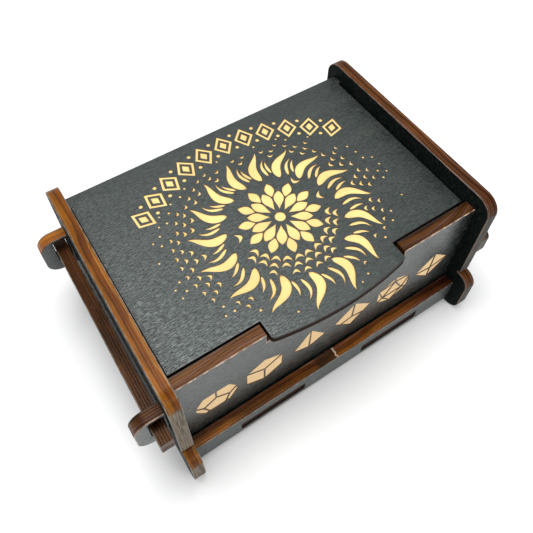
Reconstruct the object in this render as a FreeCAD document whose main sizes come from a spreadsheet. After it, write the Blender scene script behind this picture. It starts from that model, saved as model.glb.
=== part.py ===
"""A knock-down card deck box: ten laser-cut plywood pieces, a hinged lid and two sliding locking keys.

Frame: +Z up, X along the box, Y from front (-) to back (+), the origin on the ground under the middle.
Every length is in millimetres and comes from the spreadsheet "Sizes".
"""
import FreeCAD
import Part
import math
import os
import Sketcher

SIZES = {
    # stock
    "sheet_thickness": 6.0,       # plywood of the frame pieces
    "lid_thickness": 4.0,         # thinner plywood of the lid
    "slot_clearance": 0.1,        # play on each side of a tenon in its slot
    # inside of the box
    "inner_length": 155.0,        # between the end plates
    "inner_depth": 93.0,          # between the front and back panels
    "floor_underside": 6.0,       # height of the floor's lower face above the ground
    # end plates
    "plate_depth": 120.0,
    "plate_height": 85.0,
    "plate_radius": 8.7,          # rounded top corners
    "foot_reach": 7.0,            # how far a foot stands out past the plate's upright edge
    "foot_height": 29.0,
    "foot_radius": 7.0,
    "foot_length": 23.0,          # along the ground, from the foot's toe to the raised middle
    "arch_height": 2.7,           # the raised middle of the plate's lower edge
    "relief_size": 1.2,           # square cut where a foot meets the upright edge
    # lid
    "lid_top": 75.6,
    "lid_side_gap": 0.8,
    "lid_front_gap": 1.1,         # between the front panel's inner face and the lid
    "lid_back": 55.0,
    "tongue_gap": 1.2,            # each side of the tongue in its notch
    "tongue_shoulder": 2.0,       # the tongue's corners stand this far in front of the front panel
    "tongue_rise": 3.7,           # how far the tongue's curved edge bulges past its corners
    "tongue_radius": 2.0,
    "pivot_length": 6.0,          # the hinge tab's length along Y
    "pivot_radius": 3.9,          # the round hole that the hinge tab turns in
    # front panel and back panel
    "front_rise": 0.8,            # the front panel's top stands this far above the lid
    "notch_width": 71.8,
    "notch_relief_width": 1.3,
    "notch_relief_depth": 1.8,
    "back_top": 69.8,
    "ear_reach": 14.0,            # how far an ear stands out of the end plate
    "ear_bottom": 38.4,
    "ear_top": 61.4,
    "ear_radius": 7.0,
    "keyhole_bottom": 46.0,
    "keyhole_top": 59.3,
    "keyhole_offset": 1.0,        # between the end plate and the keyhole
    "keyhole_width": 6.4,
    "dowel_tab_width": 14.0,      # tabs under the panels that stand in the floor
    "dowel_tab_offset": 66.0,
    # rails
    "rail_gap": 0.9,              # between a panel's outer face and the rail
    "rail_bottom": 2.7,
    "rail_top": 18.9,
    "rail_tenon_top": 15.6,
    # floor
    "floor_tab_width": 35.6,
    "floor_tab_offset": 35.6,
    "floor_tab_setback": 0.8,     # the tab ends inside the rail, short of its outer face
    "floor_slot_play": 0.4,       # extra height of the rail's slots above the tabs
    "side_tenon_width": 22.0,
    "side_tenon_offset": 23.0,
    # locking keys
    "key_gap": 1.2,               # between the end plate and the key
    "key_height": 8.4,
    "key_tail": 8.1,              # length that stands out past the far ear
    "key_head_length": 6.5,
    "key_head_bottom": 41.7,
    "key_head_radius": 4.2,
}

doc = FreeCAD.newDocument("CardDeckBox")
sheet = doc.addObject("Spreadsheet::Sheet", "Sizes")
for row, (alias, value) in enumerate(SIZES.items(), start=1):
    sheet.set("A%d" % row, alias)
    sheet.set("B%d" % row, str(value))
    sheet.setAlias("B%d" % row, alias)
doc.recompute()

# Expressions that several pieces share.
T = "Sizes.sheet_thickness"
CLEAR = "Sizes.slot_clearance"
END_INNER = "Sizes.inner_length / 2"
END_OUTER = "(Sizes.inner_length / 2 + %s)" % T
PANEL_INNER = "Sizes.inner_depth / 2"
PANEL_OUTER = "(Sizes.inner_depth / 2 + %s)" % T
RAIL_INNER = "(%s + Sizes.rail_gap)" % PANEL_OUTER
RAIL_OUTER = "(%s + %s)" % (RAIL_INNER, T)
FLOOR_BOTTOM = "Sizes.floor_underside"
FLOOR_TOP = "(Sizes.floor_underside + %s)" % T
LID_BOTTOM = "(Sizes.lid_top - Sizes.lid_thickness)"
PIVOT_Y = "(Sizes.lid_back - Sizes.pivot_length / 2)"
PIVOT_Z = "(Sizes.lid_top - Sizes.lid_thickness / 2)"


scratch = doc.addObject("App::FeaturePython", "Scratch")
scratch.addProperty("App::PropertyFloat", "Value")


def value_of(expression):
    """What an expression comes to, so that sketches start where their constraints hold them."""
    scratch.setExpression("Value", expression)
    scratch.recompute()
    return scratch.Value


def minus(expression):
    return "-(%s)" % expression


def between(centre, width, extra="0"):
    """The two expressions at half a width each side of a centre, widened by extra on each side."""
    low = "%s - (%s) / 2 - %s" % (centre, width, extra)
    high = "%s + (%s) / 2 + %s" % (centre, width, extra)
    return low, high


# Sketches. These numbers name a curve's points in a sketch constraint.
START, END, CENTRE = 1, 2, 3
NEAR = 1e-4     # two points closer than this are the same point


def origin_plane(body, role):
    for feature in body.Origin.OriginFeatures:
        if feature.Role == role:
            return feature
    raise ValueError("no origin plane " + role)


def new_sketch(body, name, role, offset):
    """An empty sketch parallel to one of the body's origin planes, at an offset along its normal."""
    sketch = body.newObject("Sketcher::SketchObject", name)
    sketch.AttachmentSupport = [(origin_plane(body, role), "")]
    sketch.MapMode = "FlatFace"
    sketch.setExpression("AttachmentOffset.Base.z", offset)
    return sketch


def flat_point(place):
    """The point in a sketch's plane at a pair of expressions."""
    return FreeCAD.Vector(value_of(place[0]), value_of(place[1]), 0)


def pin_point(sketch, geometry, point, place, name):
    """Hold one point at signed distances, both bound to the sheet, from the sketch's origin."""
    for kind, expression in zip(("DistanceX", "DistanceY"), place):
        constraint = Sketcher.Constraint(kind, -1, 1, geometry, point, value_of(expression))
        label = name + kind[-1]
        sketch.renameConstraint(sketch.addConstraint(constraint), label)
        sketch.setExpression("Constraints." + label, expression)


def hold_radius(sketch, geometry, radius):
    label = "r%d" % geometry
    constraint = Sketcher.Constraint("Radius", geometry, value_of(radius))
    sketch.renameConstraint(sketch.addConstraint(constraint), label)
    sketch.setExpression("Constraints." + label, radius)


def arc_between(start, end, radius):
    """The short arc that turns to the left on its way from start to end."""
    chord = end - start
    rise = radius - math.sqrt(radius ** 2 - (chord.Length / 2) ** 2)
    outward = FreeCAD.Vector(chord.y, -chord.x, 0).normalize()
    return Part.Arc(start, (start + end) / 2 + outward * rise, end)


def add_outline(sketch, corners, arcs=None):
    """A closed outline through corners, given counterclockwise as pairs of expressions.

    arcs maps a side's number to the radius expression of the arc that replaces its straight line.
    """
    arcs = arcs or {}
    count = len(corners)
    first = sketch.GeometryCount
    points = [flat_point(corner) for corner in corners]
    for side, start in enumerate(points):
        end = points[(side + 1) % count]
        if side in arcs:
            sketch.addGeometry(arc_between(start, end, value_of(arcs[side])), False)
        else:
            sketch.addGeometry(Part.LineSegment(start, end), False)
    for side in range(count):
        following = first + (side + 1) % count
        sketch.addConstraint(Sketcher.Constraint("Coincident", first + side, END, following, START))
    for side, place in enumerate(corners):
        pin_point(sketch, first + side, START, place, "p%d" % (first + side))
    for side, radius in arcs.items():
        hold_radius(sketch, first + side, radius)


def add_rectangle(sketch, u_range, v_range):
    (u_low, u_high), (v_low, v_high) = u_range, v_range
    add_outline(sketch, [(u_low, v_low), (u_high, v_low), (u_high, v_high), (u_low, v_high)])


def add_circle(sketch, centre, radius):
    circle = Part.Circle(flat_point(centre), FreeCAD.Vector(0, 0, 1), value_of(radius))
    index = sketch.addGeometry(circle, False)
    pin_point(sketch, index, CENTRE, centre, "c%d" % index)
    hold_radius(sketch, index, radius)


# Sheet pieces

def pad_through(body, name, sketch, thickness):
    pad = body.newObject("PartDesign::Pad", name)
    pad.Profile = sketch
    pad.setExpression("Length", thickness)
    doc.recompute()
    return pad


def pocket_through(body, name, sketch, thickness):
    """Cut the sketch's closed shapes through a sheet that stands on the sketch's plane."""
    volume_before = body.Tip.Shape.Volume
    pocket = body.newObject("PartDesign::Pocket", name)
    pocket.Profile = sketch
    pocket.Reversed = True
    pocket.setExpression("Length", thickness)
    doc.recompute()
    if pocket.Shape.Volume >= volume_before:
        raise RuntimeError(name + " cuts nothing")
    return pocket


def upright_edges(shape, sketch, corners):
    """Names of the sheet's edges that rise from the given corners of its outline."""
    normal = sketch.Placement.Rotation.multVec(FreeCAD.Vector(0, 0, 1))
    feet = [sketch.Placement.multVec(flat_point(corner)) for corner in corners]
    names = []
    for number, edge in enumerate(shape.Edges, start=1):
        ends = [vertex.Point for vertex in edge.Vertexes]
        if len(ends) != 2:
            continue
        upright = (ends[1] - ends[0]).cross(normal).Length < NEAR
        if upright and any(end.distanceToPoint(foot) < NEAR for end in ends for foot in feet):
            names.append("Edge%d" % number)
    if len(names) != len(corners):
        raise RuntimeError("expected %d corner edges, found %d" % (len(corners), len(names)))
    return names


def round_corners(body, name, sketch, corners, radius):
    rounded = body.Tip
    fillet = body.newObject("PartDesign::Fillet", name)
    fillet.Base = (rounded, upright_edges(rounded.Shape, sketch, corners))
    fillet.setExpression("Radius", radius)
    doc.recompute()
    return fillet


def cut_sheet(label, role, offset, thickness, outline, arcs=None, holes=(), round_holes=(), rounding=()):
    """One piece cut from flat stock.

    outline and holes are in the sketch's plane; rounding lists (radius, outline corners) pairs.
    """
    body = doc.addObject("PartDesign::Body", label)
    body.Label = label
    shape = new_sketch(body, label + "_outline", role, offset)
    add_outline(shape, outline, arcs)
    pad_through(body, label + "_sheet", shape, thickness)
    if holes or round_holes:
        cuts = new_sketch(body, label + "_cuts", role, offset)
        for u_range, v_range in holes:
            add_rectangle(cuts, u_range, v_range)
        for centre, radius in round_holes:
            add_circle(cuts, centre, radius)
        pocket_through(body, label + "_openings", cuts, thickness)
    for number, (radius, corners) in enumerate(rounding):
        round_corners(body, "%s_rounding%d" % (label, number), shape, corners, radius)
    return body


def tabs_along(edge, depth, places):
    """Corners of tabs or recesses along one side, as (position along the side, position across it).

    places is a list of (centre, width); depth is where the tabs end and edge is where they start.
    """
    corners = []
    for centre, width in places:
        low, high = between(centre, width)
        corners += [(low, edge), (low, depth), (high, depth), (high, edge)]
    return corners


# End plates, in the Y-Z plane

def build_end_plate(label, offset):
    edge = "Sizes.plate_depth / 2"
    toe = "(%s + Sizes.foot_reach)" % edge
    heel = "(%s - Sizes.foot_length)" % toe
    slope = "(%s - Sizes.arch_height)" % heel
    arch = "Sizes.arch_height"
    foot = "Sizes.foot_height"
    relief_in = "(%s - Sizes.relief_size)" % edge
    relief_top = "(%s + Sizes.relief_size)" % foot
    top = "Sizes.plate_height"
    back_half = [(slope, arch), (heel, "0"), (toe, "0"), (toe, foot), (relief_in, foot),
                 (relief_in, relief_top), (edge, relief_top), (edge, top)]
    front_half = [(minus(y), z) for y, z in reversed(back_half)]
    panel_slots = [between(sign + "(%s + %s) / 2" % (PANEL_INNER, PANEL_OUTER), T, CLEAR)
                   for sign in ("", "-")]
    rail_slots = [between(sign + "(%s + %s) / 2" % (RAIL_INNER, RAIL_OUTER), T, CLEAR)
                  for sign in ("", "-")]
    floor_slots = [between(sign + "Sizes.side_tenon_offset", "Sizes.side_tenon_width", CLEAR)
                   for sign in ("", "-")]
    ear_height = ("Sizes.ear_bottom - " + CLEAR, "Sizes.ear_top + " + CLEAR)
    rail_height = (FLOOR_BOTTOM + " - " + CLEAR, "Sizes.rail_tenon_top + " + CLEAR)
    floor_height = (FLOOR_BOTTOM + " - " + CLEAR, FLOOR_TOP + " + " + CLEAR)
    holes = [(slot, ear_height) for slot in panel_slots]
    holes += [(slot, rail_height) for slot in rail_slots]
    holes += [(slot, floor_height) for slot in floor_slots]
    return cut_sheet(label, "YZ_Plane", offset, T, back_half + front_half, holes=holes,
                     round_holes=[((PIVOT_Y, PIVOT_Z), "Sizes.pivot_radius")],
                     rounding=[("Sizes.plate_radius", [(edge, top), (minus(edge), top)]),
                               ("Sizes.foot_radius", [(toe, "0"), (toe, foot),
                                                      (minus(toe), "0"), (minus(toe), foot)])])


build_end_plate("left_end_plate", minus(END_OUTER))
build_end_plate("right_end_plate", END_INNER)


# Front and back panels, in the X-Z plane, whose normal points to the front

DOWEL_TABS = [(place, "Sizes.dowel_tab_width")
              for place in ("-Sizes.dowel_tab_offset", "0", "Sizes.dowel_tab_offset")]
EAR_TIP = "(%s + Sizes.ear_reach)" % END_OUTER
KEYHOLE_NEAR = "(%s + Sizes.keyhole_offset)" % END_OUTER
KEYHOLE_FAR = "(%s + Sizes.keyhole_width)" % KEYHOLE_NEAR
KEYHOLES = [((KEYHOLE_NEAR, KEYHOLE_FAR), ("Sizes.keyhole_bottom", "Sizes.keyhole_top")),
            ((minus(KEYHOLE_FAR), minus(KEYHOLE_NEAR)), ("Sizes.keyhole_bottom", "Sizes.keyhole_top"))]


def build_panel(label, offset, top, notch):
    """A panel with an ear at each end; notch holds the corners between its two top corners."""
    bottom_edge = [(minus(END_INNER), FLOOR_TOP)]
    bottom_edge += tabs_along(FLOOR_TOP, FLOOR_BOTTOM, DOWEL_TABS)
    bottom_edge += [(END_INNER, FLOOR_TOP)]
    right_ear = [(END_INNER, "Sizes.ear_bottom"), (EAR_TIP, "Sizes.ear_bottom"),
                 (EAR_TIP, "Sizes.ear_top"), (END_INNER, "Sizes.ear_top")]
    left_ear = [(minus(x), z) for x, z in reversed(right_ear)]
    upper_edge = [(END_INNER, top)] + notch + [(minus(END_INNER), top)]
    outline = bottom_edge + right_ear + upper_edge + left_ear
    tips = right_ear[1:3] + left_ear[1:3]
    return cut_sheet(label, "XZ_Plane", offset, T, outline, holes=KEYHOLES,
                     rounding=[("Sizes.ear_radius", tips)])


FRONT_TOP = "(Sizes.lid_top + Sizes.front_rise)"
NOTCH = "Sizes.notch_width / 2"
NOTCH_FLOOR_END = "(Sizes.notch_width / 2 - Sizes.notch_relief_width)"
NOTCH_RELIEF = "(%s - Sizes.notch_relief_depth)" % LID_BOTTOM
right_of_notch = [(NOTCH, FRONT_TOP), (NOTCH, NOTCH_RELIEF), (NOTCH_FLOOR_END, NOTCH_RELIEF),
                  (NOTCH_FLOOR_END, LID_BOTTOM)]
left_of_notch = [(minus(x), z) for x, z in reversed(right_of_notch)]
build_panel("front_panel", PANEL_INNER, FRONT_TOP, right_of_notch + left_of_notch)
build_panel("back_panel", minus(PANEL_OUTER), "Sizes.back_top", [])


# Rails, in the X-Z plane, in front of the front panel and behind the back panel

def build_rail(label, offset):
    bottom, top = "Sizes.rail_bottom", "Sizes.rail_top"
    right_end = [(END_INNER, bottom), (END_INNER, FLOOR_BOTTOM), (END_OUTER, FLOOR_BOTTOM),
                 (END_OUTER, "Sizes.rail_tenon_top"), (END_INNER, "Sizes.rail_tenon_top"), (END_INNER, top)]
    left_end = [(minus(x), z) for x, z in reversed(right_end)]
    slot_height = (FLOOR_BOTTOM + " - " + CLEAR, FLOOR_TOP + " + Sizes.floor_slot_play")
    slots = [(between(sign + "Sizes.floor_tab_offset", "Sizes.floor_tab_width", CLEAR), slot_height)
             for sign in ("-", "")]
    return cut_sheet(label, "XZ_Plane", offset, T, right_end + left_end, holes=slots)


build_rail("front_rail", RAIL_INNER)
build_rail("back_rail", minus(RAIL_OUTER))


# Floor, in the X-Y plane

def floor_front_edge():
    """The front edge from left to right: recesses for the panel's tabs, and tabs into the rail."""
    edge = minus(RAIL_INNER)
    recess = minus(PANEL_INNER + " - " + CLEAR)
    tab_end = minus(RAIL_OUTER + " - Sizes.floor_tab_setback")
    recess_width = "(Sizes.dowel_tab_width + 2 * %s)" % CLEAR
    corners = []
    for number, (centre, _) in enumerate(DOWEL_TABS):
        corners += tabs_along(edge, recess, [(centre, recess_width)])
        if number < 2:
            tab_centre = ("-Sizes.floor_tab_offset", "Sizes.floor_tab_offset")[number]
            corners += tabs_along(edge, tab_end, [(tab_centre, "Sizes.floor_tab_width")])
    return [(minus(END_INNER), edge)] + corners + [(END_INNER, edge)]


def floor_side_tenons():
    """The right side from front to back, as (x, y) corners."""
    tenons = [(sign + "Sizes.side_tenon_offset", "Sizes.side_tenon_width") for sign in ("-", "")]
    return [(x, y) for y, x in tabs_along(END_INNER, END_OUTER, tenons)]


front_and_side = floor_front_edge() + floor_side_tenons()
back_and_side = [(minus(x), minus(y)) for x, y in front_and_side]
cut_sheet("floor_panel", "XY_Plane", FLOOR_BOTTOM, T, front_and_side + back_and_side)


# Lid, in the X-Y plane, with a hinge tab at each end of its back edge

lid_edge = "(%s - Sizes.lid_side_gap)" % END_INNER
lid_front = minus(PANEL_INNER + " - Sizes.lid_front_gap")
tongue = "(Sizes.notch_width / 2 - Sizes.tongue_gap)"
tongue_front = minus(PANEL_OUTER + " + Sizes.tongue_shoulder")
tongue_arc = "(({0}) ^ 2 + Sizes.tongue_rise ^ 2) / (2 * Sizes.tongue_rise)".format(tongue)
tab_front = "(Sizes.lid_back - Sizes.pivot_length)"
tab_end = "(%s - Sizes.slot_clearance)" % END_OUTER
right_half = [(tongue, tongue_front), (tongue, lid_front), (lid_edge, lid_front), (lid_edge, tab_front),
              (tab_end, tab_front), (tab_end, "Sizes.lid_back")]
left_half = [(minus(x), y) for x, y in reversed(right_half)]
lid_outline = right_half + left_half
front_side = len(lid_outline) - 1
cut_sheet("lid", "XY_Plane", LID_BOTTOM, "Sizes.lid_thickness", lid_outline,
          arcs={front_side: tongue_arc},
          rounding=[("Sizes.tongue_radius", [lid_outline[0], lid_outline[front_side]])])


# Locking keys, in the Y-Z plane, through both ears of one end

def build_key(label, offset, head_side):
    """A bar through both ears, with a head on head_side ("front" or "back") and a tail on the other."""
    bottom = "Sizes.keyhole_bottom + " + CLEAR
    top = "(Sizes.keyhole_bottom + Sizes.key_height)"
    tail = minus(PANEL_OUTER + " + Sizes.key_tail")
    shoulder = PANEL_OUTER
    head = "(%s + Sizes.key_head_length)" % PANEL_OUTER
    outline = [(tail, bottom), (shoulder, bottom), (shoulder, "Sizes.key_head_bottom"),
               (head, "Sizes.key_head_bottom"), (head, top), (tail, top)]
    head_corner = (head, top)
    if head_side == "front":
        outline = [(minus(y), z) for y, z in reversed(outline)]
        head_corner = (minus(head), top)
    return cut_sheet(label, "YZ_Plane", offset, T, outline,
                     rounding=[("Sizes.key_head_radius", [head_corner])])


build_key("left_locking_key", minus(END_OUTER + " + Sizes.key_gap + " + T), "back")
build_key("right_locking_key", END_OUTER + " + Sizes.key_gap", "front")


# Check and write

doc.recompute()
for item in doc.Objects:
    if "Invalid" in item.State or "Error" in item.State:
        raise RuntimeError("%s did not recompute" % item.Label)

os.makedirs("parts", exist_ok=True)
bodies = [item for item in doc.Objects if item.TypeId == "PartDesign::Body"]
for body in bodies:
    if body.Shape.isNull() or not body.Shape.isValid() or len(body.Shape.Solids) != 1:
        raise RuntimeError(body.Label + " is not one valid solid")
    body.Shape.exportStep("parts/%s.step" % body.Label)
    box = body.Shape.BoundBox
    print("%-18s x %7.2f %7.2f  y %7.2f %7.2f  z %6.2f %6.2f  volume %9.1f"
          % (body.Label, box.XMin, box.XMax, box.YMin, box.YMax, box.ZMin, box.ZMax, body.Shape.Volume))
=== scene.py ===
"""Looks of the card deck box: plywood sheets with laser-cut edges, black stain and engraving.

Each sheet of the frame is rebuilt from its own outline with rounded corners, ply layers along its cut
edges and recessed engraving. Lengths are in millimetres until a mesh is written, which is in metres.
"""
import math
import random

import bpy
from mathutils import Matrix, Vector
from mathutils.geometry import delaunay_2d_cdt
from mathutils.kdtree import KDTree


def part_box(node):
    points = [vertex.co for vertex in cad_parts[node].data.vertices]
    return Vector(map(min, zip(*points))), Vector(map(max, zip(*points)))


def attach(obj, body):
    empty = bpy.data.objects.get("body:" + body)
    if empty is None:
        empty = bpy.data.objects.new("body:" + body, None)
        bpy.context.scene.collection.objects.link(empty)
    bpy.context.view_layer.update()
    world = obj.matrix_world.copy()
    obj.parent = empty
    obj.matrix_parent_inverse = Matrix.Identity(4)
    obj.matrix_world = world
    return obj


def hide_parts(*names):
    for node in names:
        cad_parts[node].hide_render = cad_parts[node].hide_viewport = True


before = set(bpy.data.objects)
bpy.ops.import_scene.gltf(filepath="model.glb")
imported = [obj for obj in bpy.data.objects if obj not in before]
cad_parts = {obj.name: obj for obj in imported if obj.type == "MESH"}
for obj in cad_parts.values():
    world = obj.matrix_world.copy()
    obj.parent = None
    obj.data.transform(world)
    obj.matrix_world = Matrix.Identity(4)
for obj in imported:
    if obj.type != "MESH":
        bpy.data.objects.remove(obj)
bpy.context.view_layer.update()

MM = 0.001

# Plywood
CORNER_ROUNDING = 0.38       # radius worn onto every cut corner
CORNER_STEPS = 4
PLY = 1.2                    # thickness of one layer
GLUE_GROOVE = 0.03           # depth of the burnt line between two layers
GLUE_HALF_WIDTH = 0.07

# Engraving
ENGRAVING_DEPTH = 0.28
SCORCH = 0.3                 # width of the burnt rim of an engraved area

FACE, EDGE, LOW_CORNER, HIGH_CORNER, HOLE, ENGRAVED, WALL = range(7)    # material slots of a sheet


# ---------------------------------------------------------------- outlines

LEVEL = 0.001                # a vertex this near the high face belongs to it
NO_TURN = math.radians(0.3)  # a smaller turn is no corner
ARC_TURN = math.radians(20)  # a larger turn is a corner and not part of an arc
LONG_STEP = 1.5              # times the steps beside it: a longer one is a straight line between arcs


class Plane:
    """A flat piece's own directions: u and v along the sheet, w from its low face to its high face."""

    def __init__(self, node, u, v):
        self.node = node
        self.u = Vector(u)
        self.v = Vector(v)
        self.w = self.u.cross(self.v)
        heights = [self.w.dot(corner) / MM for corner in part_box(node)]
        self.low = min(heights)
        self.thickness = max(heights) - self.low

    def flat(self, place):
        return Vector((self.u.dot(place) / MM, self.v.dot(place) / MM))

    def height(self, place):
        return self.w.dot(place) / MM - self.low

    def solid(self, point, height):
        return (self.u * point[0] + self.v * point[1] + self.w * (self.low + height)) * MM


def read_loops(plane):
    """The closed lines round the high face, the outside first, each with the wood on its left."""
    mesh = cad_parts[plane.node].data
    key_of = {}
    place_of = {}
    for vertex in mesh.vertices:
        if plane.height(vertex.co) > plane.thickness - LEVEL:
            point = plane.flat(vertex.co)
            key = (round(point.x, 3), round(point.y, 3))
            key_of[vertex.index] = key
            place_of[key] = point
    steps = set()
    for face in mesh.polygons:
        if all(i in key_of for i in face.vertices):
            keys = [key_of[i] for i in face.vertices]
            steps.update(zip(keys, keys[1:] + keys[:1]))
    following = {a: b for a, b in steps if (b, a) not in steps}
    loops = []
    while following:
        key = min(following)
        loop = []
        while key in following:
            loop.append(place_of[key])
            key = following.pop(key)
        loops.append(refine_arcs(drop_straight(loop)))
    return sorted(loops, key=area, reverse=True)


def area(loop):
    return sum(a.x * b.y - a.y * b.x for a, b in pairs(loop)) / 2


def pairs(loop):
    return list(zip(loop, loop[1:] + loop[:1]))


def turn(before, here, after):
    first, second = here - before, after - here
    return math.atan2(first.x * second.y - first.y * second.x, first.dot(second))


def drop_straight(loop):
    count = len(loop)
    return [here for i, here in enumerate(loop)
            if abs(turn(loop[i - 1], here, loop[(i + 1) % count])) > NO_TURN]


def refine_arcs(loop):
    """Adds the middle of each step along a round stretch. A straight line between two is left alone."""
    count = len(loop)
    turns = [turn(loop[i - 1], loop[i], loop[(i + 1) % count]) for i in range(count)]
    lengths = [(after - here).length for here, after in pairs(loop)]
    finer = []
    for i, (here, after) in enumerate(pairs(loop)):
        finer.append(here)
        ends = (turns[i], turns[(i + 1) % count])
        beside = max(lengths[i - 1], lengths[(i + 1) % count])
        bends_on = max(map(abs, ends)) < ARC_TURN and ends[0] * ends[1] > 0
        if bends_on and lengths[i] < LONG_STEP * beside:
            step = after - here
            outward = Vector((step.y, -step.x))
            bulge = math.tan(max(ends, key=abs) / 4) / 2
            finer.append((here + after) / 2 + outward * bulge)
    return finer


def inset(loop, distance):
    """The loop moved to its left, towards the wood."""
    moved = []
    count = len(loop)
    for i, here in enumerate(loop):
        before = (here - loop[i - 1]).normalized()
        after = (loop[(i + 1) % count] - here).normalized()
        left_before, left_after = Vector((-before.y, before.x)), Vector((-after.y, after.x))
        mitre = (left_before + left_after) / max(1 + left_before.dot(left_after), 0.3)
        moved.append(here + mitre * distance)
    return moved


def upright_share(plane, loop):
    """For each corner of a loop, 0 where its edge faces up and 1 where it faces sideways or down."""
    shares = []
    for here, far in zip(loop, inset(loop, -1.0)):
        outward = (far - here).normalized()
        shares.append(1 - max(0.0, outward.x * plane.u.z + outward.y * plane.v.z))
    return shares


def edge_profile(thickness):
    """(inset, height) pairs from the low face to the high face of a cut edge."""
    corner = []
    for step in range(CORNER_STEPS + 1):
        angle = math.pi / 2 * step / CORNER_STEPS
        corner.append((CORNER_ROUNDING * (1 - math.sin(angle)), CORNER_ROUNDING * (1 - math.cos(angle))))
    side = []
    for layer in range(1, int(thickness / PLY + 0.5)):
        side += [(0, layer * PLY - GLUE_HALF_WIDTH), (GLUE_GROOVE, layer * PLY),
                 (0, layer * PLY + GLUE_HALF_WIDTH)]
    return corner + side + [(depth, thickness - height) for depth, height in reversed(corner)]


# ---------------------------------------------------------------- meshes

CREASE = math.radians(38)    # two faces that meet at more than this are shaded apart


class Builder:
    """Collects a mesh's points, faces and the values that its materials read."""

    def __init__(self, plane, along_v=False, offset=(0, 0)):
        self.plane = plane
        self.along_v = along_v
        self.offset = offset
        self.places = []
        self.grain = []
        self.values = {"scorch": [], "upright": []}
        self.faces = []
        self.slots = []
        self.smooth = []

    def point(self, flat, height, scorch=0.0, upright=0.0):
        u, v = flat[0] + self.offset[0], flat[1] + self.offset[1]
        self.places.append(self.plane.solid(flat, height))
        self.grain.append((v, u, height) if self.along_v else (u, v, height))
        self.values["scorch"].append(scorch)
        self.values["upright"].append(upright)
        return len(self.places) - 1

    def face(self, corners, slot, smooth=False):
        self.faces.append(list(corners))
        self.slots.append(slot)
        self.smooth.append(smooth)

    def finish(self, name, materials):
        mesh = bpy.data.meshes.new(name)
        mesh.from_pydata(self.places, [], self.faces)
        mesh.polygons.foreach_set("material_index", self.slots)
        mesh.polygons.foreach_set("use_smooth", self.smooth)
        grain = mesh.attributes.new("grain", "FLOAT_VECTOR", "POINT")
        grain.data.foreach_set("vector", [value for place in self.grain for value in place])
        for label, values in self.values.items():
            mesh.attributes.new(label, "FLOAT", "POINT").data.foreach_set("value", values)
        mesh.set_sharp_from_angle(angle=CREASE)
        mesh.validate()
        for material in materials:
            mesh.materials.append(material)
        piece = bpy.data.objects.new(name, mesh)
        bpy.context.scene.collection.objects.link(piece)
        return piece


def build_sheet(node, body, u, v, materials, along_v=False, offset=(0, 0), cuts=()):
    """Replaces a flat CAD node with a detailed sheet. cuts are engraved into its high face.

    The grain runs along u, or along v if along_v is set. offset moves the sheet to another part of the
    materials' patterns, so that no two sheets look the same.
    """
    plane = Plane(node, u, v)
    builder = Builder(plane, along_v, offset)
    profile = edge_profile(plane.thickness)
    low_rims, high_rims = [], []
    for number, loop in enumerate(read_loops(plane)):
        shares = upright_share(plane, loop)
        rings = []
        for depth, height in profile:
            corners = zip(inset(loop, depth), shares)
            rings.append([builder.point(p, height, upright=share) for p, share in corners])
        for level, (lower, upper) in enumerate(zip(rings, rings[1:])):
            part = EDGE
            if number > 0:
                part = HOLE
            elif level < CORNER_STEPS:
                part = LOW_CORNER
            elif level >= len(profile) - 1 - CORNER_STEPS:
                part = HIGH_CORNER
            for (a, b), (c, d) in zip(pairs(lower), pairs(upper)):
                builder.face((a, b, d, c), part, smooth=True)
        rim = profile[0][0]
        low_rims.append((inset(loop, rim), rings[0]))
        high_rims.append((inset(loop, rim), rings[-1]))
    fill_face(builder, low_rims, 0.0, (), up=False)
    fill_face(builder, high_rims, plane.thickness, cuts, up=True)
    piece = builder.finish(node + "_sheet", materials)
    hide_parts(node)
    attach(piece, body)
    return piece


def fill_face(builder, rims, height, cuts, up):
    """Triangulates a face between its rims and round the cuts, then sinks the cuts into it."""
    flats, known, faces = [], [], []
    kinds = []
    for number, (points, indices) in enumerate(rims):
        start = len(flats)
        flats += points
        known += indices
        ring = list(range(start, len(flats)))
        faces.append(ring if number == 0 else ring[::-1])
        kinds.append("wood" if number == 0 else "hole")
    for cut in cuts:
        for number, border in enumerate(cut.borders):
            start = len(flats)
            flats += [cut.points[i] for i in border]
            known += [None] * len(border)
            faces.append(list(range(start, len(flats))))
            kinds.append("border")
            cut.tops[number] = faces[-1]
    made = delaunay_2d_cdt([Vector(p) for p in flats], [], faces, 1, 1e-6, True)
    places, triangles, sources, owners = made[0], made[2], made[3], made[5]
    index_of = {}
    for number, place in enumerate(places):
        found = [known[i] for i in sources[number] if i < len(known) and known[i] is not None]
        index_of[number] = found[0] if found else builder.point(place, height)
    for triangle, owner in zip(triangles, owners):
        inside = [kinds[i] for i in owner]
        if "wood" not in inside or "hole" in inside or inside.count("border") % 2:
            continue
        corners = [index_of[i] for i in triangle]
        builder.face(corners if up else corners[::-1], FACE)
    top_of = {source: index_of[number] for number in index_of for source in sources[number]}
    for cut in cuts:
        cut.sink(builder, height, top_of)


class Cut:
    """One engraved area: its floor, and the borders where its walls stand."""

    def __init__(self):
        self.points = []       # places on the sheet
        self.scorched = []     # 1 at the burnt rim, 0 in the clean middle
        self.faces = []
        self.borders = []      # the outside, counterclockwise, then the edge of an island, if any
        self.tops = {}

    def add(self, point, scorched):
        self.points.append(Vector((point[0], point[1])))
        self.scorched.append(scorched)
        return len(self.points) - 1

    def sink(self, builder, height, top_of):
        floor = height - ENGRAVING_DEPTH
        below = [builder.point(p, floor, s) for p, s in zip(self.points, self.scorched)]
        for face in self.faces:
            builder.face([below[i] for i in face], ENGRAVED, smooth=True)
        for number, border in enumerate(self.borders):
            tops = [top_of[i] for i in self.tops[number]]
            bottoms = [below[i] for i in border]
            for (a, b), (c, d) in zip(pairs(tops), pairs(bottoms)):
                builder.face((a, b, d, c) if number == 0 else (b, a, c, d), WALL, smooth=True)


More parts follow.
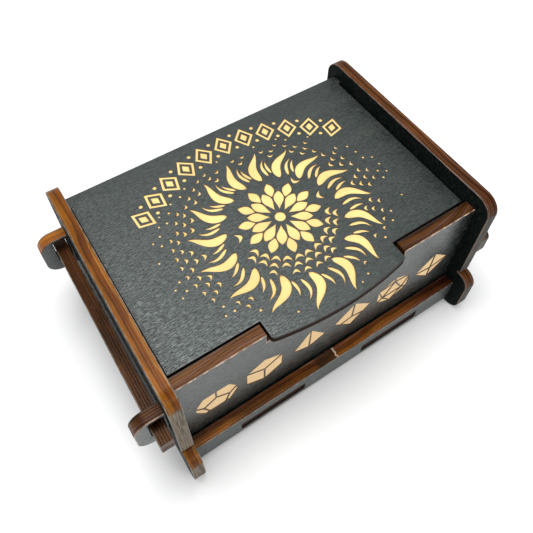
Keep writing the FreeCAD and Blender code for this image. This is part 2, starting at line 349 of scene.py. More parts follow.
def polygon_cut(corners):
    """A convex area with straight or finely divided sides, counterclockwise."""
    corners = [Vector(c) for c in corners]
    if area(corners) < 0:
        corners.reverse()
    length = sum((b - a).length for a, b in pairs(corners))
    rim = min(SCORCH, 0.7 * area(corners) / length)
    cut = Cut()
    outside = [cut.add(p, 1.0) for p in corners]
    inside = [cut.add(p, 0.0) for p in inset(corners, rim)]
    for (a, b), (c, d) in zip(pairs(outside), pairs(inside)):
        cut.faces.append((a, b, d, c))
    cut.faces.append(inside)
    cut.borders.append(outside)
    return cut


def strip_cut(stations, closed=False):
    """An area between two lines, given as (one side, other side) pairs along it.

    An open strip ends in points: its first and last pairs are single places given twice.
    """
    if strip_area(stations, closed) < 0:
        stations = [(b, a) for a, b in stations]
    cut = Cut()
    rows = []
    last = len(stations) - 1
    for number, (right, left) in enumerate(stations):
        right, left = Vector(right), Vector(left)
        if not closed and number in (0, last):
            rows.append([cut.add(right, 1.0)] * 4)
            continue
        width = (left - right).length
        share = min(SCORCH / width, 0.42)
        middle = max(0.0, 1 - width / (2 * SCORCH))
        columns = ((0, 1.0), (share, middle), (1 - share, middle), (1, 1.0))
        rows.append([cut.add(right.lerp(left, across), scorched) for across, scorched in columns])
    for here, after in (pairs(rows) if closed else zip(rows, rows[1:])):
        for column in range(3):
            corners = (here[column], after[column], after[column + 1], here[column + 1])
            cut.faces.append(list(dict.fromkeys(corners)))
    rights, lefts = [row[0] for row in rows], [row[3] for row in rows]
    if closed:
        cut.borders = [rights, lefts]
    else:
        cut.borders = [rights + lefts[-2:0:-1]]
    return cut


def strip_area(stations, closed):
    rights = [Vector(a) for a, _ in stations]
    lefts = [Vector(b) for _, b in stations]
    if closed:
        return area(rights) - area(lefts)
    return area(rights + lefts[-2:0:-1])


# ---------------------------------------------------------------- ornament

CENTRE = Vector((1, -7))     # of the sunburst on the lid
BUTTON = 2.6                 # radius of the disc in its middle
FLOWER = 20.0                # radius of its petals
PETALS = 12
INNER_PETAL = {"inner": 4.0, "outer": 0.76 * FLOWER, "width": 4.9, "belly": 0.62}
OUTER_PETAL = {"inner": 0.58 * FLOWER, "outer": FLOWER, "width": 4.6, "belly": 0.52}
FLAMES = 16
FLAME_LENGTH = 18.0
FLAME_WIDTH = 4.4
FLAME_REACH = 44.5           # mean radius of the flames' tips
FLAME_RISE = 4.5             # how much nearer the tips are at the top, where the band is
FLAME_SWAY = 4.0             # degrees that a flame leans over
THIN_FLAMES = (              # degrees beside a flame, how much later it starts and sooner it ends, width
    (-8.6, 2.0, 5.0, 1.7),
    (8.4, 3.0, 7.0, 1.5),
)
FLAME_SWINGS = 1.5           # half waves over FLAME_LENGTH
FIELD_WIDE = 62.0            # half sizes of the oval that the scales fill
FIELD_DEEP = 49.0
SCALE_LARGE = 7.4            # length of a scale at the middle of the oval
SCALE_SMALL = 2.0            # and at its rim
SCALE_DOT = 2.7              # a shorter scale than this becomes a dot
SCALE_PITCH = 5.1            # between two scales of a ring
SCALE_ROW = 3.5              # between two rings
SCALE_START = 3.0            # from the petals' tips to the first ring
SCALE_SEED = 6
SCALE_THINNING = (0.80, 1.02)    # the scales stop between these shares of the way to its rim
SCALE_THICKNESS = 0.36       # of a crescent, as a share of its length
DOT_RADIUS = 0.24            # as a share of the length that a crescent would have there
SCATTER = 0.30               # how far a scale may stray from its place
GAP = 0.75                   # least wood between a scale and the other ornament
SCALE_MARGIN = 2.6           # least wood between a scale and the edge of the lid

BAND_CENTRE = Vector((1.2, -38.7))
BAND_RADIUS = 82.7
BAND_SPREAD = 79.4           # degrees from the first motif to the last
BAND_MOTIFS = 11
DIAMOND_WIDTH, DIAMOND_HEIGHT, DIAMOND_STROKE = 10.2, 13.0, 1.25
CORE_WIDTH, CORE_HEIGHT = 4.0, 5.6
BAND_DOT = 1.0
BAND_DOT_SHIFT = 4.4         # of two dots from the middle of the band


def polar(centre, radius, degrees):
    angle = math.radians(degrees)
    return Vector((centre[0] + radius * math.cos(angle), centre[1] + radius * math.sin(angle)))


def blade(line, width, belly, steps=10):
    """A pointed shape along line(share), widest at the share given by belly."""
    stations = []
    for step in range(steps + 1):
        share = step / steps
        here = line(share)
        ahead = (line(min(share + 0.01, 1)) - line(max(share - 0.01, 0))).normalized()
        half = width / 2 * math.sin(math.pi * share ** (math.log(0.5) / math.log(belly)))
        side = Vector((ahead.y, -ahead.x)) * (half if 0 < step < steps else 0)
        stations.append((here + side, here - side))
    return strip_cut(stations)


def petal(degrees, inner, outer, width, belly):
    return blade(lambda share: polar(CENTRE, inner + (outer - inner) * share, degrees), width, belly)


def flame(degrees, inner, outer, width):
    """A ray that leans over and back."""

    def line(share):
        radius = inner + (outer - inner) * share
        swing = math.sin(FLAME_SWINGS * math.pi * (radius - inner) / FLAME_LENGTH)
        return polar(CENTRE, radius, degrees + FLAME_SWAY * swing)

    return blade(line, width, belly=0.34, steps=16)


def crescent(place, degrees, length, thickness):
    """A moon whose round back looks along degrees."""
    out = Vector((math.cos(math.radians(degrees)), math.sin(math.radians(degrees))))
    along = Vector((-out.y, out.x))
    rise = 0.3 * length
    stations = []
    for step in range(9):
        share = step / 4 - 1
        bulge = 1 - share * share
        middle = place + along * (share * length / 2) - out * rise / 2
        stations.append((middle + out * bulge * (rise + thickness), middle + out * bulge * rise))
    return strip_cut(stations)


def disc(place, radius, count=14):
    return polygon_cut([polar(place, radius, 360 * i / count) for i in range(count)])


def lozenge(place, degrees, width, height):
    """Its corners, with width across and height along degrees."""
    return [polar(place, (width if i % 2 else height) / 2, degrees + 90 * i) for i in range(4)]


def lozenge_frame(place, degrees, width, height, stroke):
    outer = lozenge(place, degrees, width, height)
    return strip_cut(list(zip(outer, inset(outer, stroke))), closed=True)


def band():
    """An arched row of diamonds with dots between them."""
    cuts = []
    pitch = BAND_SPREAD / (BAND_MOTIFS - 1)
    for number in range(BAND_MOTIFS):
        degrees = 90 + BAND_SPREAD / 2 - number * pitch
        place = polar(BAND_CENTRE, BAND_RADIUS, degrees)
        cuts.append(lozenge_frame(place, degrees, DIAMOND_WIDTH, DIAMOND_HEIGHT, DIAMOND_STROKE))
        cuts.append(polygon_cut(lozenge(place, degrees, CORE_WIDTH, CORE_HEIGHT)))
        if number:
            for shift in (-BAND_DOT_SHIFT, BAND_DOT_SHIFT):
                between = polar(BAND_CENTRE, BAND_RADIUS + shift, degrees + pitch / 2)
                cuts.append(disc(between, BAND_DOT, 10))
    return cuts


def flame_reach(degrees):
    """The sun's outer radius, smaller at the top, where the band is."""
    return FLAME_REACH - FLAME_RISE * math.sin(math.radians(degrees))


def sunburst():
    """A flower of petals and, further out, a ring of flames with a thin one at each side."""
    cuts = [disc(CENTRE, BUTTON)]
    for number in range(PETALS):
        degrees = 360 / PETALS * number
        cuts.append(petal(degrees, **INNER_PETAL))
        cuts.append(petal(degrees + 180 / PETALS, **OUTER_PETAL))
    for number in range(FLAMES):
        degrees = 360 / FLAMES * (number + 0.5)
        reach = flame_reach(degrees)
        inner = reach - FLAME_LENGTH
        cuts.append(flame(degrees, inner, reach, FLAME_WIDTH))
        for beside, later, sooner, width in THIN_FLAMES:
            apart = beside * FLAME_REACH / reach
            cuts.append(flame(degrees + apart, inner + later, reach - sooner, width))
    return cuts


def clearance(point, loop):
    """How far a point lies inside a loop. It is below zero outside."""
    nearest = min((point - closest(point, a, b)).length for a, b in pairs(loop))
    crossings = 0
    for a, b in pairs(loop):
        if (a.y > point.y) != (b.y > point.y):
            crossings += point.x < a.x + (b.x - a.x) * (point.y - a.y) / (b.y - a.y)
    return nearest if crossings % 2 else -nearest


def closest(point, a, b):
    along = b - a
    share = max(0, min(1, (point - a).dot(along) / along.length_squared))
    return a + along * share


def point_tree(points):
    tree = KDTree(len(points))
    for number, point in enumerate(points):
        tree.insert((point.x, point.y, 0), number)
    tree.balance()
    return tree


def scales(outline, neighbours):
    """Staggered rings of crescents that shrink to dots and thin out towards the rim of an oval."""
    choose = random.Random(SCALE_SEED)
    cuts = []
    tree = point_tree([point for cut in neighbours for point in cut.points])
    for ring in range(int((FIELD_WIDE - FLOWER) / SCALE_ROW)):
        radius = FLOWER + SCALE_START + SCALE_ROW * ring
        count = int(math.tau * radius / SCALE_PITCH)
        for number in range(count):
            degrees = 360 * (number + 0.5 * (ring % 2)) / count
            place = polar(CENTRE, radius, degrees)
            place += Vector((choose.uniform(-SCATTER, SCATTER), choose.uniform(-SCATTER, SCATTER)))
            from_centre = place - CENTRE
            share = math.hypot(from_centre.x / FIELD_WIDE, from_centre.y / FIELD_DEEP)
            length = SCALE_LARGE + (SCALE_SMALL - SCALE_LARGE) * share
            if share > choose.uniform(*SCALE_THINNING) or clearance(place, outline) < SCALE_MARGIN:
                continue
            if length > SCALE_DOT:
                cut = crescent(place, degrees + 180, length, SCALE_THICKNESS * length)
            else:
                cut = disc(place, DOT_RADIUS * length, 8)
            if min(tree.find((point.x, point.y, 0))[2] for point in cut.points) > GAP:
                cuts.append(cut)
    return cuts


def lid_cuts():
    outline = read_loops(Plane("lid", (1, 0, 0), (0, 1, 0)))[0]
    drawn = band() + sunburst()
    return drawn + scales(outline, drawn)


# ---------------------------------------------------------------- dice on the front panel

ICON_RADIUS = 11.0
ICON_HEIGHT = 42.2
ICON_PITCH = 24.4
ICON_LINE = 0.30             # half of the wood left between two facets
ICON_LEAST = 1.3 * ICON_LINE     # area over outline of the narrowest facet that is cut
SAME_SIDE = 1e-4             # a point this near a side's plane lies in it
TURNED_AWAY = -0.05          # a side whose normal has a larger y can't be seen
GOLDEN = (1 + math.sqrt(5)) / 2


def signs(*values):
    """Every choice of sign of the values that aren't zero."""
    points = [()]
    for value in values:
        points = [p + (s,) for p in points for s in ((value, -value) if value else (0,))]
    return points


def turned(points):
    return [(p[i], p[(i + 1) % 3], p[(i + 2) % 3]) for p in points for i in range(3)]


def trapezohedron():
    lift = (1 - math.cos(math.pi / 5)) / (1 + math.cos(math.pi / 5))
    ring = [(math.cos(math.pi / 5 * i), math.sin(math.pi / 5 * i), lift * (-1) ** i) for i in range(10)]
    return ring + [(0, 0, 1), (0, 0, -1)]


def tetrahedron():
    third = math.tau / 3
    ring = [(math.cos(third * i), math.sin(third * i), -math.sqrt(2) / 4) for i in range(3)]
    return ring + [(0, 0, 3 * math.sqrt(2) / 4)]


DICE = (    # points, then the turn about the upright axis and the tilt towards the viewer
    (turned(signs(0, 1 / GOLDEN, GOLDEN)) + signs(1, 1, 1), 0, 58),
    (signs(1, 1, 1), 45, 35.3),
    (tetrahedron(), 30, 15),
    (trapezohedron(), 54, 18),
    (turned(signs(0, 1, GOLDEN)), 0, 20.9),
    (signs(1, 0, 0) + signs(0, 1, 0) + signs(0, 0, 1), 0, 12),
)


def facets(points, turn_degrees, tilt_degrees):
    """The sides of a convex solid that face the viewer, each as flat corners scaled to a unit circle."""
    placing = Matrix.Rotation(math.radians(tilt_degrees), 3, "X") @ Matrix.Rotation(
        math.radians(turn_degrees), 3, "Z")
    places = sorted({tuple(round(x, 6) for x in placing @ Vector(p)) for p in points})
    places = [Vector(p) for p in places]
    reach = max(math.hypot(p.x, p.z) for p in places)
    found = {}
    for i, a in enumerate(places):
        for j, b in enumerate(places[:i]):
            for c in places[:j]:
                normal = (b - a).cross(c - a).normalized()
                offsets = [normal.dot(p - a) for p in places]
                if max(offsets) < SAME_SIDE or min(offsets) > -SAME_SIDE:
                    side = frozenset(k for k, offset in enumerate(offsets) if abs(offset) < SAME_SIDE)
                    found[side] = normal if max(offsets) < SAME_SIDE else -normal
    sides = []
    for side, normal in found.items():
        if normal.y > TURNED_AWAY:
            continue
        flats = [Vector((places[k].x, places[k].z)) / reach for k in side]
        middle = sum(flats, Vector((0, 0))) / len(flats)
        flats.sort(key=lambda p: math.atan2(p.y - middle.y, p.x - middle.x))
        sides.append(flats)
    return sides


def icon_cuts():
    cuts = []
    for number, (points, turn_degrees, tilt_degrees) in enumerate(DICE):
        place = Vector(((number - (len(DICE) - 1) / 2) * ICON_PITCH, ICON_HEIGHT))
        for side in facets(points, turn_degrees, tilt_degrees):
            corners = [place + corner * ICON_RADIUS for corner in side]
            length = sum((b - a).length for a, b in pairs(corners))
            if area(corners) / length > ICON_LEAST:
                cuts.append(polygon_cut(inset(corners, ICON_LINE)))
    return cuts


# ---------------------------------------------------------------- materials

class Shader:
    """A node material under construction. A value is a number, a colour or another node's output.

    ior and gloss set how strongly it reflects, and gleam is the colour of its reflections.
    """

    def __init__(self, name, ior=1.5, gloss=0.5, gleam=(1.0, 1.0, 1.0)):
        self.material = bpy.data.materials.new(name)
        self.material.use_nodes = True
        self.tree = self.material.node_tree
        self.surface = self.tree.nodes["Principled BSDF"]
        self.surface.inputs["IOR"].default_value = ior
        self.surface.inputs["Specular IOR Level"].default_value = gloss
        self.surface.inputs["Specular Tint"].default_value = rgb(*gleam)

    def node(self, kind, inputs, output=0, **settings):
        made = self.tree.nodes.new("ShaderNode" + kind)
        for name, value in settings.items():
            setattr(made, name, value)
        for key, value in inputs.items():
            self.feed(made.inputs[key], value)
        return made.outputs[output]

    def feed(self, socket, value):
        if isinstance(value, bpy.types.NodeSocket):
            self.tree.links.new(value, socket)
        else:
            socket.default_value = value

    def attribute(self, name):
        return self.node("Attribute", {}, "Vector" if name == "grain" else "Fac", attribute_name=name)

    def grain(self, axis):
        """A place on the sheet: 0 is along the grain and 2 through the thickness, in millimetres."""
        return self.node("SeparateXYZ", {0: self.attribute("grain")}, axis)

    def noise(self, stretch, detail, offset=(0, 0, 0)):
        """Noise whose cells are 1/stretch millimetres long, wide and high."""
        place = self.node("VectorMath", {0: self.attribute("grain"), 1: stretch}, operation="MULTIPLY")
        moved = self.node("VectorMath", {0: place, 1: offset}, operation="ADD")
        return self.node("TexNoise", {"Vector": moved, "Scale": 1.0, "Detail": detail, "Roughness": 0.55})

    def maths(self, operation, *values):
        return self.node("Math", dict(enumerate(values)), operation=operation)

    def spread(self, value, low, high, to_low=0.0, to_high=1.0):
        """The value from low to high, smoothly, as a value from to_low to to_high."""
        return self.node("MapRange", {"Value": value, "From Min": low, "From Max": high, "To Min": to_low,
                                      "To Max": to_high}, interpolation_type="SMOOTHSTEP")

    def blend(self, share, first, second, blend_type="MIX"):
        return self.node("Mix", {0: share, 6: first, 7: second}, 2, data_type="RGBA", blend_type=blend_type)

    def ramp(self, value, stops):
        made = self.tree.nodes.new("ShaderNodeValToRGB")
        elements = made.color_ramp.elements
        while len(elements) > 1:
            elements.remove(elements[-1])
        elements[0].position, elements[0].color = stops[0]
        for position, colour in stops[1:]:
            elements.new(position).color = colour
        self.feed(made.inputs[0], value)
        return made.outputs[0]

    def bump(self, height, distance, normal=None):
        """height from 0 to 1 raises the surface by up to distance millimetres."""
        inputs = {"Height": height, "Strength": 1.0, "Distance": distance * MM}
        if normal is not None:
            inputs["Normal"] = normal
        return self.node("Bump", inputs)

    def finish(self, colour, roughness, normal):
        self.feed(self.surface.inputs["Base Color"], colour)
        self.feed(self.surface.inputs["Roughness"], roughness)
        self.feed(self.surface.inputs["Normal"], normal)
        return self.material


def rgb(red, green, blue):
    return (red, green, blue, 1.0)


def scaled(colour, factor):
    return rgb(*(factor * value for value in colour))


STAIN_GLEAM = (0.93, 1.0, 0.97)
VARNISH_GLEAM = (0.9, 0.5, 0.3)


def stained_face(name, ior, depth, roughest, tone, gloss=0.5):
    """Black stain on birch: faint broad streaks and short open pores along the grain, under a satin coat.

    depth is the height of the streaks in mm, roughest the roughness of the dullest ones, tone how bright
    the stain is, and gloss how strongly it reflects.
    """
    shader = Shader(name, ior, gloss, STAIN_GLEAM)
    broad = shader.noise((0.012, 0.12, 0.2), 4.0)
    streak = shader.noise((0.20, 1.6, 1.0), 3.5)
    pores = shader.spread(shader.noise((0.40, 2.4, 1.0), 2.0, offset=(7, 3, 0)), 0.50, 0.62)
    colour = shader.ramp(broad, [(0.30, rgb(0.005, 0.009, 0.009)), (0.55, rgb(0.010, 0.015, 0.014)),
                                 (0.75, rgb(0.022, 0.024, 0.020))])
    colour = shader.blend(shader.spread(streak, 0.45, 0.75, 0.0, 0.7), colour, rgb(0.040, 0.047, 0.042))
    colour = shader.blend(pores, colour, rgb(0.001, 0.001, 0.001))
    colour = shader.blend(1.0, colour, rgb(tone, tone, tone), "MULTIPLY")
    roughness = shader.spread(streak, 0.3, 0.7, 0.6 * roughest, roughest)
    normal = shader.bump(streak, depth)
    normal = shader.bump(shader.maths("SUBTRACT", 1.0, pores), 0.6 * depth, normal)
    return shader.finish(colour, roughness, normal)


DARK_LINE = (0.030, 0.008, 0.002)
BROWN_BAND = (0.120, 0.032, 0.009)
ORANGE_BAND = (0.270, 0.094, 0.010)
PALE_VEIN = (0.380, 0.205, 0.100)
CHIP_DARK = (0.012, 0.008, 0.006)
CHIP_WOOD = (0.62, 0.50, 0.38)
STRETCH_TINT = (0.30, 0.24, 0.42)
EDGE_LAYERS = 5
LAYERS_REACH = 12.0          # thickness that they take up: twice a sheet's, so that they may wander


def band_stops(seed):
    """Across a cut edge, layers of brown and orange wood with a dark line or a thin pale vein in each."""
    choose = random.Random(seed)
    stops = []
    for number in range(EDGE_LAYERS):
        place = (number + choose.uniform(0.35, 0.65)) / EDGE_LAYERS
        vein = number % 2 == 1
        half = 0.034 if vein else 0.070
        stops.append((place - half, rgb(*choose.choice((BROWN_BAND, ORANGE_BAND)))))
        stops.append((place, rgb(*(PALE_VEIN if vein else DARK_LINE))))
        stops.append((place + half, rgb(*choose.choice((BROWN_BAND, ORANGE_BAND)))))
    return stops


def cut_edge(name, seed, tint, drift, layered, mottle=1.0, gloss=0.3, side_sheen=None, chip=None, dark_stretch=None):
    """A laser-cut edge under satin varnish. drift is how far, in mm, its bands wander across it.

    seed picks its pattern and tint multiplies its colours. layered is how strong the bands are, mottle
    how uneven the wood is, gloss how strongly it reflects, and side_sheen the grey of a painted
    reflection, laid on the edge where it doesn't face up. chip is the place along the sheet of a pale nick
    with a darker stretch before it. dark_stretch is the place of a darker stretch and its reach to either
    side; on the keys and the front panel that stretch is painted shade.
    """
    shader = Shader(name, gloss=gloss, gleam=VARNISH_GLEAM)
    wander = shader.noise((0.017, 0.017, 0.02), 1.5, offset=(seed, 0, 0))
    ripple = shader.noise((0.10, 0.10, 0.3), 2.0)
    drifted = shader.maths("ADD", shader.grain(2), shader.spread(wander, 0.25, 0.75, -drift, drift))
    drifted = shader.maths("ADD", drifted, shader.spread(ripple, 0.25, 0.75, -0.22, 0.22))
    across = shader.maths("DIVIDE", shader.maths("ADD", drifted, LAYERS_REACH / 4), LAYERS_REACH)
    streak = shader.noise((0.09, 0.09, 5.5), 3.0)
    dots = shader.noise((2.2, 2.2, 3.2), 2.0)
    patch = shader.noise((0.030, 0.030, 0.12), 2.5, offset=(3, 9, seed))
    plain = shader.blend(shader.spread(patch, 0.35, 0.65), rgb(*BROWN_BAND), rgb(*ORANGE_BAND))
    colour = shader.blend(layered, plain, shader.ramp(across, band_stops(seed)))
    streaks = shader.spread(streak, 0.25, 0.75, 1 - 0.22 * mottle, 1 + 0.22 * mottle)
    patches = shader.spread(patch, 0.35, 0.65, 1 - 0.58 * mottle, 1 + 0.40 * mottle)
    shade = shader.maths("MULTIPLY", streaks, shader.spread(dots, 0.30, 0.70, 0.75, 1.18))
    shade = shader.maths("MULTIPLY", shade, patches)
    colour = shader.blend(1.0, colour, rgb(*tint), "MULTIPLY")
    grey = shader.node("CombineColor", {0: shade, 1: shade, 2: shade})
    colour = shader.blend(1.0, colour, grey, "MULTIPLY")
    # painted reflection: a grey sheen on the parts of the edge that face sideways or down
    if side_sheen is not None:
        colour = paint_side_sheen(shader, colour, side_sheen)
    if chip is not None:
        colour = chipped(shader, colour, ripple, chip)
    if dark_stretch is not None:
        colour = darker_stretch(shader, colour, *dark_stretch)
    normal = shader.bump(streak, 0.04)
    normal = shader.bump(dots, 0.03, normal)
    roughness = shader.maths("ADD", shader.spread(dots, 0.3, 0.7, 0.24, 0.42),
                             shader.spread(shader.attribute("upright"), 0.5, 0.9, 0.0, 0.45))
    return shader.finish(colour, roughness, normal)


def paint_side_sheen(shader, colour, side_sheen):
    """Painted reflection: a grey sheen, streaked with fibres, over the parts of the edge that don't face
    up, standing in for the bright surroundings that these edges reflect.
    """
    share = shader.spread(shader.attribute("upright"), 0.7, 0.95, 0.0, 0.9)
    fibres = shader.spread(shader.noise((0.10, 0.10, 2.2), 3.5), 0.36, 0.64)
    return shader.blend(share, colour, shader.blend(fibres, scaled(side_sheen, 0.5), scaled(side_sheen, 1.4)))


def chipped(shader, colour, ripple, chip):
    """A pale wavering nick across the edge, and a darker stretch that ends at it."""
    along = shader.grain(0)
    before = shader.spread(along, chip - 13, chip - 9)
    past = shader.spread(along, chip - 0.8, chip - 0.2)
    share = shader.maths("MULTIPLY", shader.maths("SUBTRACT", before, past), 0.7)
    colour = shader.blend(share, colour, rgb(*CHIP_DARK))
    wavering = shader.maths("ADD", along, shader.spread(ripple, 0.3, 0.7, -0.5, 0.5))
    away = shader.maths("ABSOLUTE", shader.maths("SUBTRACT", wavering, chip))
    return shader.blend(shader.spread(away, 0.55, 0.25), colour, rgb(*CHIP_WOOD))


def darker_stretch(shader, colour, middle, reach):
    """The colour, darker along the sheet from middle - reach to middle + reach. On a key this is painted
    shadow where it runs into the ear's hole, and on the front panel painted shade on the ear beside the
    end plate; on the rail it only makes the right end darker.
    """
    away = shader.maths("ABSOLUTE", shader.maths("SUBTRACT", shader.grain(0), middle))
    dark = shader.blend(1.0, colour, rgb(*STRETCH_TINT), "MULTIPLY")
    return shader.blend(shader.spread(away, reach, 0.4 * reach), colour, dark)


def wear_and_painted_light(name, tint, gloss=0.5):
    """The rounded corners, where the stain is rubbed thin and greyed. The grey and pale copies are also a
    painted highlight where a corner catches the light, and the near-black copy for holes is painted shade.
    """
    shader = Shader(name, gloss=gloss)
    worn = shader.spread(shader.noise((0.35, 0.35, 0.9), 4.0), 0.36, 0.64)
    fine = shader.noise((2.0, 2.0, 2.0), 3.0)
    colour = shader.blend(worn, scaled(tint, 0.25), rgb(*tint))
    colour = shader.blend(shader.spread(fine, 0.35, 0.75, 0.0, 0.5), colour, rgb(0.03, 0.022, 0.016))
    return shader.finish(colour, shader.spread(worn, 0.0, 1.0, 0.28, 0.42), shader.bump(fine, 0.02))


def engraved(name, clean, burnt):
    """Bare wood at the bottom of the engraving: fine raster lines, burnt towards the rim."""
    shader = Shader(name, ior=1.4)
    scorch = shader.attribute("scorch")
    blot = shader.noise((0.35, 0.9, 0.5), 4.0)
    lines = shader.noise((0.4, 4.5, 1.0), 2.0)
    warmth = shader.spread(shader.noise((0.05, 0.05, 0.1), 2.0), 0.35, 0.65, 0.0, 0.35)
    soft = shader.maths("ADD", scorch, shader.spread(blot, 0.3, 0.7, -0.22, 0.22))
    middle = tuple(0.5 * (a + b) for a, b in zip(clean, burnt))
    colour = shader.ramp(soft, [(0.10, rgb(*clean)), (0.60, rgb(*middle)), (1.0, rgb(*burnt))])
    colour = shader.blend(warmth, colour, rgb(*middle))
    colour = shader.blend(shader.spread(lines, 0.35, 0.70, 0.0, 0.30), colour, scaled(clean, 0.72))
    return shader.finish(colour, 0.75, shader.bump(lines, 0.04))


def scorched_wall():
    shader = Shader("scorched_wall")
    fine = shader.noise((1.5, 1.5, 4.0), 3.0)
    colour = shader.ramp(fine, [(0.3, rgb(0.035, 0.014, 0.006)), (0.7, rgb(0.16, 0.062, 0.015))])
    return shader.finish(colour, 0.6, shader.bump(fine, 0.02))


# ---------------------------------------------------------------- the box

X, Y, Z = Vector((1, 0, 0)), Vector((0, 1, 0)), Vector((0, 0, 1))


def build_box():
    satin = stained_face("stained_satin", 1.60, 0.12, 0.56, 1.0)
    smooth = stained_face("stained_smooth", 1.85, 0.05, 0.36, 0.9)
    worn = stained_face("stained_worn", 1.60, 0.20, 0.56, 1.7)
    dull = stained_face("stained_dull", 1.15, 0.03, 0.60, 0.55, gloss=0.15)
    wall = scorched_wall()
    # Near black on the walls of holes: painted shade for the dark inside of a hole.
    hole = wear_and_painted_light("hole_painted_shade", (0.020, 0.013, 0.009), gloss=0.05)
    cream = engraved("engraved_lid", (0.70, 0.52, 0.20), (0.34, 0.10, 0.012))
    beige = engraved("engraved_front", (0.72, 0.51, 0.27), (0.36, 0.19, 0.08))
    # The grey and pale corners are rubbed stain and, in part, a painted highlight where a corner catches
    # the light.
    grey = wear_and_painted_light("corner_grey_wear_and_highlight", (0.17, 0.145, 0.115))
    pale = wear_and_painted_light("corner_pale_wear_and_highlight", (0.50, 0.36, 0.28))
    brown = wear_and_painted_light("worn_corner_brown", (0.13, 0.07, 0.04))
    black = wear_and_painted_light("worn_corner_black", (0.014, 0.012, 0.010))

    def sheet_materials(face, low_corner, high_corner, edge, engraving=beige):
        """In the order of the material slots."""
        return (face, edge, low_corner, high_corner, hole, engraving, wall)

    # The grey given to the sideways-facing cut edges of the end plates is a painted reflection.
    left = sheet_materials(dull, grey, grey,
                           cut_edge("cut_edge_left", 12, (0.72, 0.68, 0.34), 1.4, 0.7, mottle=0.4,
                                    side_sheen=(0.12, 0.11, 0.088)))
    right = sheet_materials(dull, brown, black,
                            cut_edge("cut_edge_right", 11, (0.33, 0.31, 0.38), 0.9, 0.85, mottle=0.4,
                                     gloss=0.16, side_sheen=(0.058, 0.060, 0.055)))
    # The panel's darker stretch at 412 is painted shade on its ear, beside the end plate and over the key's
    # hole.
    panel = sheet_materials(smooth, black, pale,
                            cut_edge("cut_edge_panel", 3, (0.185, 0.19, 0.36), 5.0, 0.85, dark_stretch=(412, 9)))
    # The rail's darker stretch makes its right end darker.
    rail = sheet_materials(worn, brown, grey,
                           cut_edge("cut_edge_rail", 8, (0.60, 0.56, 0.62), 1.4, 0.75, chip=901.6,
                                    dark_stretch=(985, 55)))
    back = sheet_materials(smooth, brown, brown,
                           cut_edge("cut_edge_back", 17, (0.9, 0.85, 0.6), 0.9, 0.6))
    other = sheet_materials(satin, brown, brown,
                            cut_edge("cut_edge_other", 19, (0.40, 0.40, 0.6), 0.9, 0.7))
    floor = sheet_materials(satin, black, black,
                            cut_edge("cut_edge_floor", 13, (0.10, 0.12, 0.3), 0.6, 0.8))
    # The key's grey on its sideways-facing edges is a painted reflection, and its darker stretch at 1952 is
    # painted shadow where it runs into the ear's hole.
    key = sheet_materials(smooth, grey, brown,
                          cut_edge("cut_edge_key", 21, (0.155, 0.145, 0.21), 2.0, 0.55, mottle=1.3,
                                   side_sheen=(0.085, 0.090, 0.082), dark_stretch=(1952, 10)))
    lid = sheet_materials(satin, black, black,
                          cut_edge("cut_edge_lid", 29, (0.04, 0.05, 0.12), 0.8, 0.8, gloss=0.15),
                          engraving=cream)

    build_sheet("left_end_plate", "frame", Y, Z, left, along_v=True)
    build_sheet("right_end_plate", "frame", Y, Z, right, along_v=True, offset=(310, 40))
    build_sheet("front_panel", "frame", X, Z, panel, offset=(500, 200), cuts=icon_cuts())
    build_sheet("back_panel", "frame", -X, Z, back, offset=(-700, 90))
    build_sheet("front_rail", "frame", X, Z, rail, offset=(900, -60))
    build_sheet("back_rail", "frame", -X, Z, other, offset=(-900, 150))
    build_sheet("floor_panel", "frame", X, Y, floor, offset=(1200, 400))
    build_sheet("lid", "lid", X, Y, lid, offset=(1500, 800), cuts=lid_cuts())
    build_sheet("left_locking_key", "left_key", Y, Z, key, offset=(1900, 30))
    build_sheet("right_locking_key", "right_key", Y, Z, key, offset=(2300, -90))


# ---------------------------------------------------------------- floor, light and camera

AIM = Vector((12.3, 23.0, 40.0))     # where the camera looks, before its shift
DISTANCE = 318.9             # from there to the camera
AZIMUTH = -33.56             # degrees, as the next two are
ELEVATION = 53.73
ROLL = 0.61
LENS = 40.55
SHIFT_X = 0.0037
SHIFT_Y = -0.1113
SENSOR = 36.0
NEAREST = 0.01               # metres from the camera, nearer things aren't drawn

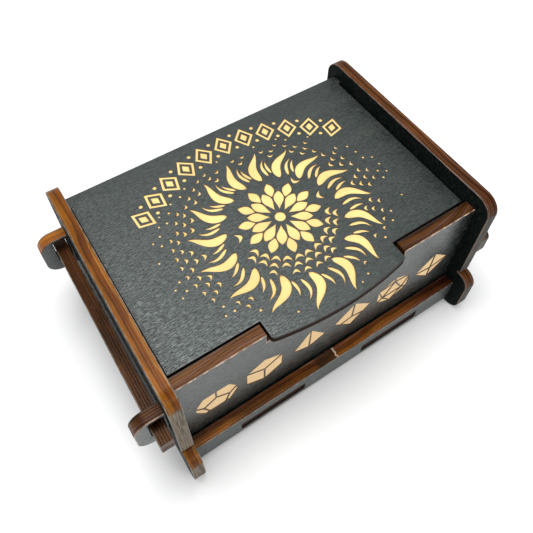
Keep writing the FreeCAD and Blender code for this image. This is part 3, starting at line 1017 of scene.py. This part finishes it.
FLOOR_SIZE = 6.0             # metres
FLOOR_SHADE = 0.76
SKY = (0.99, 1.0, 1.0)
SKY_STRENGTH = 0.8
SOFTBOXES = (                # name, place, aim, size and power in watts
    ("overhead", (-50, 80, 650), (0, 0, 75), (360, 360), 3.8),
    ("front", (150, -760, 460), (-30, -50, 60), (500, 260), 2.5),
)


def add_floor():
    bpy.ops.mesh.primitive_plane_add(size=FLOOR_SIZE)
    floor = bpy.context.object
    floor.name = "floor"
    shader = Shader("floor_paint")
    shader.surface.inputs["Base Color"].default_value = rgb(FLOOR_SHADE, FLOOR_SHADE, FLOOR_SHADE)
    shader.surface.inputs["Roughness"].default_value = 0.9
    floor.data.materials.append(shader.material)


def add_softbox(name, place, aim, size, power):
    light = bpy.data.lights.new(name, "AREA")
    light.shape = "RECTANGLE"
    light.size, light.size_y = size[0] * MM, size[1] * MM
    light.energy = power
    box = bpy.data.objects.new(name, light)
    bpy.context.scene.collection.objects.link(box)
    box.location = Vector(place) * MM
    box.rotation_euler = (Vector(aim) - Vector(place)).to_track_quat("-Z", "Y").to_euler()


def add_light():
    world = bpy.data.worlds.new("studio")
    world.use_nodes = True
    background = world.node_tree.nodes["Background"]
    background.inputs["Color"].default_value = rgb(*SKY)
    background.inputs["Strength"].default_value = SKY_STRENGTH
    bpy.context.scene.world = world
    bpy.context.scene.view_settings.view_transform = "Standard"
    for softbox in SOFTBOXES:
        add_softbox(*softbox)


def add_camera():
    camera = bpy.data.objects.new("camera", bpy.data.cameras.new("camera"))
    bpy.context.scene.collection.objects.link(camera)
    azimuth, elevation = math.radians(AZIMUTH), math.radians(ELEVATION)
    away = Vector((math.sin(azimuth) * math.cos(elevation), -math.cos(azimuth) * math.cos(elevation),
                   math.sin(elevation)))
    camera.location = (AIM + away * DISTANCE) * MM
    facing = (-away).to_track_quat("-Z", "Y").to_matrix()
    camera.rotation_euler = (facing @ Matrix.Rotation(math.radians(ROLL), 3, "Z")).to_euler()
    camera.data.lens = LENS
    camera.data.sensor_width = SENSOR
    camera.data.shift_x = SHIFT_X
    camera.data.shift_y = SHIFT_Y
    camera.data.clip_start = NEAREST
    bpy.context.scene.camera = camera


build_box()
add_floor()
add_light()
add_camera()
